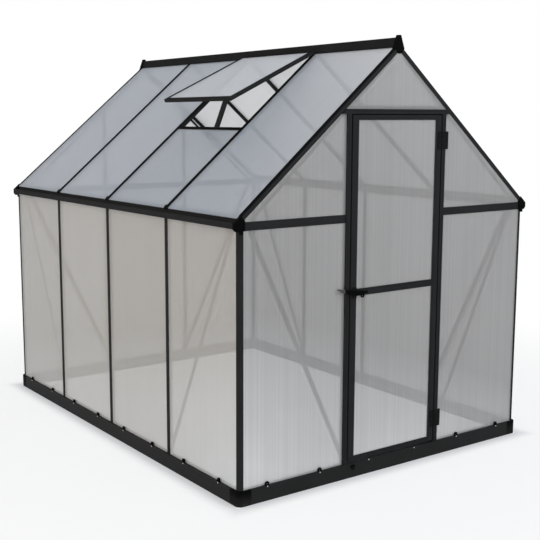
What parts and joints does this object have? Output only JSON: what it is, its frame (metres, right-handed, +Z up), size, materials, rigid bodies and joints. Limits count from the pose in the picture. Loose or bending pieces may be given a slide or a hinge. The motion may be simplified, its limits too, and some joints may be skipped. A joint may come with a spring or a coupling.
{
  "type": "hobby greenhouse",
  "caption": "Free-standing gabled greenhouse with black aluminium bars, translucent twin-wall sheets, eave gutters, a hinged door with a turning latch and a propped roof vent.",
  "frame": {"origin": "on the ground under the middle of the house", "axes": "+X across the gable to the door's hinge side, +Y along the ridge away from the door gable, +Z up"},
  "size_m": [1.874, 2.478, 2.0916],
  "materials": {
    "frame_coat": "satin black powder coat",
    "base_steel": "satin black coated steel",
    "brace_metal": "satin dark coated strap",
    "black_plastic": "moulded black plastic",
    "twin_wall_sheet": "translucent fluted twin-wall sheet"
  },
  "bodies": {
    "greenhouse": {"back_rafters": "frame_coat", "back_tie_rails": "frame_coat", "back_wall_braces": "brace_metal", "back_wall_mullions": "frame_coat", "back_wall_panels": "twin_wall_sheet", "base_back_rail": "base_steel", "base_corner_blocks": "black_plastic", "base_front_rail": "base_steel", "base_left_rail": "base_steel", "base_right_rail": "base_steel", "corner_posts": "frame_coat", "door_hinge_brackets": "black_plastic", "door_lintel": "frame_coat", "door_posts": "frame_coat", "eave_connectors": "black_plastic", "front_rafters": "frame_coat", "front_tie_rails": "frame_coat", "front_wall_braces": "brace_metal", "front_wall_panels": "twin_wall_sheet", "latch_keeper": "black_plastic", "left_eave_gutter": "frame_coat", "left_roof_bars": "frame_coat", "left_roof_panels": "twin_wall_sheet", "left_wall_braces": "brace_metal", "left_wall_mullions": "frame_coat", "left_wall_panels": "twin_wall_sheet", "ridge_beam": "frame_coat", "ridge_end_caps": "black_plastic", "right_eave_gutter": "frame_coat", "right_roof_bars": "frame_coat", "right_roof_panels": "twin_wall_sheet", "right_wall_braces": "brace_metal", "right_wall_mullions": "frame_coat", "right_wall_panels": "twin_wall_sheet", "roof_bar_clips": "black_plastic", "vent_frame": "frame_coat", "vent_panel": "twin_wall_sheet", "vent_sill": "frame_coat", "vent_stay": "frame_coat"},
    "door": {"door_hinge_leaves": "black_plastic", "door_panels": "twin_wall_sheet", "door_rails": "frame_coat", "door_stiles": "frame_coat", "latch_plate": "black_plastic"},
    "latch": {"latch_lever": "black_plastic"}
  },
  "joints": [
    {"name": "door_swing", "type": "hinge", "parent": "greenhouse", "child": "door", "pos_m": [0.288, -1.232, 0.9], "axis": [0, 0, 1], "range_deg": [0, 115]},
    {"name": "latch_turn", "type": "hinge", "parent": "door", "child": "latch", "pos_m": [-0.262, -1.23, 0.901], "axis": [0, 1, 0], "range_deg": [0, 90]}
  ]
}
